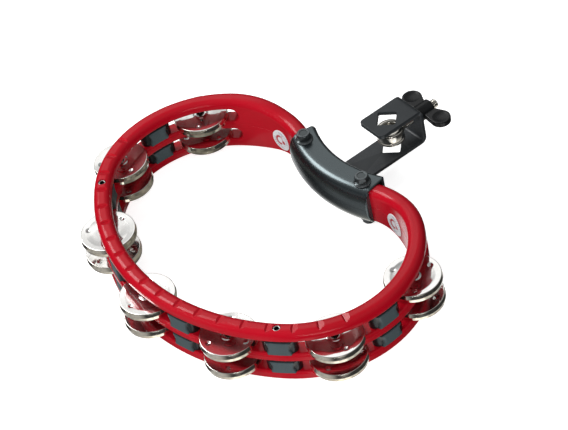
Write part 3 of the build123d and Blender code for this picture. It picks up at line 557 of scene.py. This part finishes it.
def screw_mesh():
    """The two rim screws: a round head with a narrow rim, a countersunk
    socket of 3 mm across flats, and a plain shank."""
    lo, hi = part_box("rim_screws")
    top, foot, side = hi[2] * 1000, lo[2] * 1000, hi[1] * 1000 - 3.1
    bm = bmesh.new()
    painted_shade_mask = bm.verts.layers.float.new("shade_paint")
    prof = [(0.4, top - 2.1, 1, 0), (1.2, top - 1.9, 1, 0.6), (1.5, top - 1.85, 1, 1), (1.5, top - 0.62, 1, 1), (1.66, top - 0.5, 1, 0.5),
            (1.95, top - 0.2, 0.8, 0), (2.05, top - 0.08, 0.1, 0), (2.2, top - 0.01, 0, 0), (2.45, top, 0, 0), (2.65, top, 0, 0),
            (2.85, top - 0.06, 0, 0), (3.0, top - 0.19, 0, 0), (3.08, top - 0.33, 0, 0), (3.1, top - 0.5, 0, 0),
            (3.1, top - 2.93, 0, 0), (1.75, top - 2.95, 0, 0), (1.75, foot + 0.3, 0, 0), (1.45, foot, 0, 0), (0.4, foot, 0, 0)]
    segs = 60
    for y in (side, -side):
        rings = []
        for r, z, dark, hexed in prof:
            ring = []
            for j in range(segs):
                t = 2 * math.pi * j / segs
                six = 1.0 / math.cos((t % (math.pi / 3)) - math.pi / 6)
                rr = r * (1.0 + (six - 1.0) * hexed)
                v = bm.verts.new((RIM_X + rr / 1000 * math.cos(t), (y + rr * math.sin(t)) / 1000, z / 1000))
                # painted shade: the socket's marked rings are coloured near black in the steel
                v[painted_shade_mask] = dark
                ring.append(v)
            rings.append(ring)
        for a, b in zip(rings[:-1], rings[1:]):
            for j in range(segs):
                bm.faces.new((a[j], a[(j + 1) % segs], b[(j + 1) % segs], b[j]))
        bm.faces.new(rings[0])
        bm.faces.new(rings[-1])
    bmesh.ops.recalc_face_normals(bm, faces=bm.faces)
    return bm


RIM_X = sum(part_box("rim_screws")[k][0] for k in (0, 1)) / 2
ob = piece("rim_screws_turned", screw_mesh(), SCREW, "rim_screws")
mod = ob.modifiers.new("edges", "EDGE_SPLIT")
mod.split_angle = math.radians(40)


def eyebolt_mesh():
    """Turned eye with its bore and grip groove, and a rod with a rolled
    thread of 1.25 mm pitch."""
    ex, ez = 0.1109, 0.0323
    prof = [(6.5, -5.4), (6.5, 5.4), (6.7, 5.85), (7.1, 6.0), (8.9, 6.0), (9.4, 5.85)]
    prof += [(9.4 + 2.1 * math.sin(math.radians(t)), 3.9 + 1.95 * math.cos(math.radians(t))) for t in (25, 45, 65, 85)]
    prof += [(11.5, 3.6), (11.5, -1.7), (11.35, -2.0), (10.7, -2.5), (10.5, -2.75), (10.5, -3.15), (10.7, -3.4), (11.35, -3.85),
             (11.5, -4.1), (11.5, -5.1), (11.3, -5.6), (10.9, -5.9), (10.5, -6.0), (7.1, -6.0), (6.7, -5.85)]
    bm = bmesh.new()
    segs, rings = 96, []
    for r, z in prof:
        rings.append([bm.verts.new((ex + r / 1000 * math.cos(2 * math.pi * j / segs), r / 1000 * math.sin(2 * math.pi * j / segs),
                                    ez + z / 1000)) for j in range(segs)])
    for i in range(len(rings)):
        a, b = rings[i], rings[(i + 1) % len(rings)]
        for j in range(segs):
            bm.faces.new((a[j], a[(j + 1) % segs], b[(j + 1) % segs], b[j]))
    x0, x1, pitch = 0.1205, 0.1597, 0.00125
    n, m = 300, 48
    rings = []
    for i in range(n + 1):
        x = x0 + (x1 - x0) * i / n
        ring = []
        for j in range(m):
            t = 2 * math.pi * j / m
            ph = (x / pitch - t / (2 * math.pi)) % 1.0
            cut = abs(ph * 2 - 1) ** 1.3
            fade = min(1.0, max(0.0, (x - 0.1245) / 0.0015)) * min(1.0, max(0.35, (x1 - x) / 0.0012))
            r = 3.88 - 0.62 * cut * fade
            r = min(r, 3.88 - max(0.0, 0.7 - (x1 - x) * 1000))
            ring.append(bm.verts.new((x, r / 1000 * math.cos(t), ez + r / 1000 * math.sin(t))))
        rings.append(ring)
    for a, b in zip(rings[:-1], rings[1:]):
        for j in range(m):
            bm.faces.new((a[j], a[(j + 1) % m], b[(j + 1) % m], b[j]))
    for ring in (rings[0], rings[-1]):
        bm.faces.new(ring)
    bmesh.ops.recalc_face_normals(bm, faces=bm.faces)
    return bm


piece("eyebolt_turned", eyebolt_mesh(), EYE, "eyebolt")


def badge_mesh(s, z, radius, t):
    """A thin printed disc laid on the curved inner wall."""
    bm = bmesh.new()
    uv = bm.loops.layers.uv.new("disc")
    segs, rows = 72, [0.0, 0.15, 0.3, 0.45, 0.6, 0.75, 0.9, 0.97, 1.0]
    off = -0.0072
    where = {}

    def add(rho, a, lift):
        u, v = rho * math.cos(a), rho * math.sin(a)
        q, n = wall(s + u * radius, off - lift)
        p = bm.verts.new((q[0], q[1], z + v * radius))
        where[p] = (u, v)
        return p

    centre = add(0, 0, t)
    rings = [[add(rho, 2 * math.pi * j / segs, t if rho < 0.99 else t - 0.00015) for j in range(segs)] for rho in rows[1:]]
    rings.append([add(1.0, 2 * math.pi * j / segs, 0.0) for j in range(segs)])
    faces = [bm.faces.new((centre, rings[0][j], rings[0][(j + 1) % segs])) for j in range(segs)]
    for a, b in zip(rings[:-1], rings[1:]):
        faces += [bm.faces.new((a[j], a[(j + 1) % segs], b[(j + 1) % segs], b[j])) for j in range(segs)]
    faces.append(bm.faces.new(rings[-1]))
    for f in faces:
        for lp in f.loops:
            lp[uv].uv = where[lp.vert]
    bmesh.ops.recalc_face_normals(bm, faces=bm.faces)
    return bm


for name, s in (("badge_left", 0.329), ("badge_right", -0.329)):
    piece(name + "_print", badge_mesh(s, 0.0199, 0.0104, 0.0005), BADGE, name)

# ---------------------------------------------------------------- stage
def floor():
    me = bpy.data.meshes.new("floor")
    s = 4.0
    me.from_pydata([(-s, -s, 0), (s, -s, 0), (s, s, 0), (-s, s, 0)], [], [(0, 1, 2, 3)])
    ob = bpy.data.objects.new("floor", me)
    scene.collection.objects.link(ob)
    ob.location = (0, 0, -0.0004)
    m = Mat("floor_paper")
    tone = m.noise(3.0, 2.0)
    m.set(color=m.mix(m.remap(tone, 0.3, 0.7, 0.0, 1.0), c4(0.90, 0.90, 0.90), c4(0.92, 0.92, 0.92)), rough=0.8, spec=0.1)
    # back-lit white table, so that it stays white under the object
    m.b.inputs["Emission Color"].default_value = (1.0, 1.0, 1.0, 1.0)
    m.b.inputs["Emission Strength"].default_value = FLOOR_GLOW
    me.materials.append(m.m)
    ob.visible_glossy = False
    ob.visible_diffuse = False


FLOOR_GLOW = 0.80
floor()


def flag():
    """A dark grey card under the table within the ring, with soft glowing patches. Only reflections meet it, so it
    paints a dark reflection of the table into the inner wall, while the outer wall mirrors a bright one."""
    bm = bmesh.new()
    pts = [wall(0.355 * (2 * i / 120 - 1), -0.012)[0] for i in range(120)]
    # it keeps clear of the clamp's side
    pts = [(min(x, -0.035 + 1.2 * max(0.0, abs(y) - 0.05)), y) for x, y in pts]
    mid = bm.verts.new((-0.07, 0.0, 0.0))
    ring = [bm.verts.new((x, y, 0.0)) for x, y in pts]
    for a, b in zip(ring, ring[1:] + ring[:1]):
        bm.faces.new((mid, a, b))
    me = bpy.data.meshes.new("flag")
    bm.to_mesh(me)
    bm.free()
    m = Mat("painted_reflection_card")
    m.set(color=m.mix(m.noise(200.0, 3.0), c4(0.01, 0.01, 0.01), c4(0.02, 0.02, 0.02)), rough=0.9, spec=0.0)
    # painted reflection: a cream glow in soft patches, seen only in reflections
    m.b.inputs["Emission Color"].default_value = (1.0, 0.96, 0.84, 1.0)
    m.put(m.b.inputs["Emission Strength"], m.remap(m.noise(34.0, 2.0, 0.5), 0.36, 0.62, 0.03, 0.34))
    me.materials.append(m.m)
    ob = bpy.data.objects.new("flag", me)
    scene.collection.objects.link(ob)
    ob.location = (0, 0, -0.0012)
    ob.visible_camera = False
    ob.visible_diffuse = False
    ob.visible_shadow = False
    ob.visible_transmission = False


flag()


def area(name, loc, target, size, energy, size_y=None, color=(1, 1, 1)):
    d = bpy.data.lights.new(name, "AREA")
    d.energy = energy
    d.color = color
    d.shape = "RECTANGLE"
    d.size = size
    d.size_y = size_y or size
    o = bpy.data.objects.new(name, d)
    scene.collection.objects.link(o)
    o.location = loc
    v = Vector(target) - Vector(loc)
    o.rotation_euler = v.to_track_quat("-Z", "Y").to_euler()
    return o


area("key", (-0.33, 0.95, 1.15), (0, 0, 0), 0.75, 12.0)
area("front", (-0.8, -1.25, 0.35), (0, 0, 0.02), 0.7, 2.0, 0.09)
for name, place, power, height in (("front_fill", (-0.8, -1.25, 0.45), 10.0, 0.5), ("left_fill", (-1.35, 0.35, 0.75), 8.0, 0.7)):
    fill = area(name, place, (0, 0, 0.02), 0.7, power, height)
    fill.visible_glossy = False


def studio():
    """White overhead and far side, darker room near the horizon on the near
    side, light from the table below."""
    w = bpy.data.worlds.new("studio")
    scene.world = w
    w.use_nodes = True
    m = Mat.__new__(Mat)
    m.t = w.node_tree
    bg = m.t.nodes["Background"]
    tc = m.t.nodes.new("ShaderNodeTexCoord")
    d = tc.outputs["Generated"]

    def lobe(direction, lo, hi, amount):
        n = m.t.nodes.new("ShaderNodeVectorMath")
        n.operation = "DOT_PRODUCT"
        m.put(n.inputs[0], d)
        v = Vector(direction).normalized()
        n.inputs[1].default_value = (v.x, v.y, v.z)
        r = m.t.nodes.new("ShaderNodeMapRange")
        r.interpolation_type = "SMOOTHSTEP"
        m.put(r.inputs[0], n.outputs["Value"])
        for i, x in zip((1, 2, 3, 4), (lo, hi, 0.0, amount)):
            r.inputs[i].default_value = x
        return r.outputs[0]

    total = m.math("ADD", lobe((0, 0, 1), -0.05, 0.9, 0.31), 0.035)
    total = m.math("ADD", total, lobe((0.22, 0.72, 0.66), 0.86, 0.998, 0.68))
    total = m.math("ADD", total, lobe((0.353, 0.633, -0.689), 0.80, 0.97, 1.20))
    total = m.math("ADD", total, lobe((-0.27, -0.56, -0.78), 0.90, 0.98, 1.2))
    total = m.math("ADD", total, lobe((-0.93, 0.10, -0.36), 0.72, 0.95, 0.45))
    cream = lobe((0, 0, -1), 0.72, 0.93, 0.80)
    col = m.mix(m.math("MINIMUM", cream, 1.0), c4(1.0, 1.0, 1.0), c4(1.0, 0.95, 0.86))
    m.put(bg.inputs[0], col)
    # the room is not even: soft patches break up what polished steel mirrors
    patch = m.remap(m.noise(4.5, 2.0, 0.5, vec=d), 0.38, 0.62, 0.72, 1.24)
    m.put(bg.inputs[1], m.math("MULTIPLY", m.math("ADD", total, cream), patch))


studio()

# ---------------------------------------------------------------- camera
def camera():
    right = Vector((0.77565, -0.60984, -0.16267)).normalized()
    back = Vector((-0.35299, -0.63281, 0.68917)).normalized()
    up = back.cross(right).normalized()
    pos = Vector((-0.62256 - 0.0138, -1.13014, 1.24950))
    f = 2238.33
    # the optical axis runs through the middle of the picture
    axis = (right * ((284.0 - 281.63) / f) - up * ((215.0 - 219.93) / f) - back).normalized()
    b2 = -axis
    r2 = up.cross(b2).normalized()
    u2 = b2.cross(r2).normalized()
    cam = bpy.data.cameras.new("camera")
    cam.sensor_fit = "HORIZONTAL"
    cam.sensor_width = 36.0
    cam.lens = f * 36.0 / 568.0
    cam.clip_start = 0.05
    ob = bpy.data.objects.new("camera", cam)
    scene.collection.objects.link(ob)
    m = Matrix(((r2.x, u2.x, b2.x, pos.x), (r2.y, u2.y, b2.y, pos.y), (r2.z, u2.z, b2.z, pos.z), (0, 0, 0, 1)))
    ob.matrix_world = m
    scene.camera = ob
    return ob


camera()
scene.view_settings.view_transform = "Standard"
scene.view_settings.look = "None"
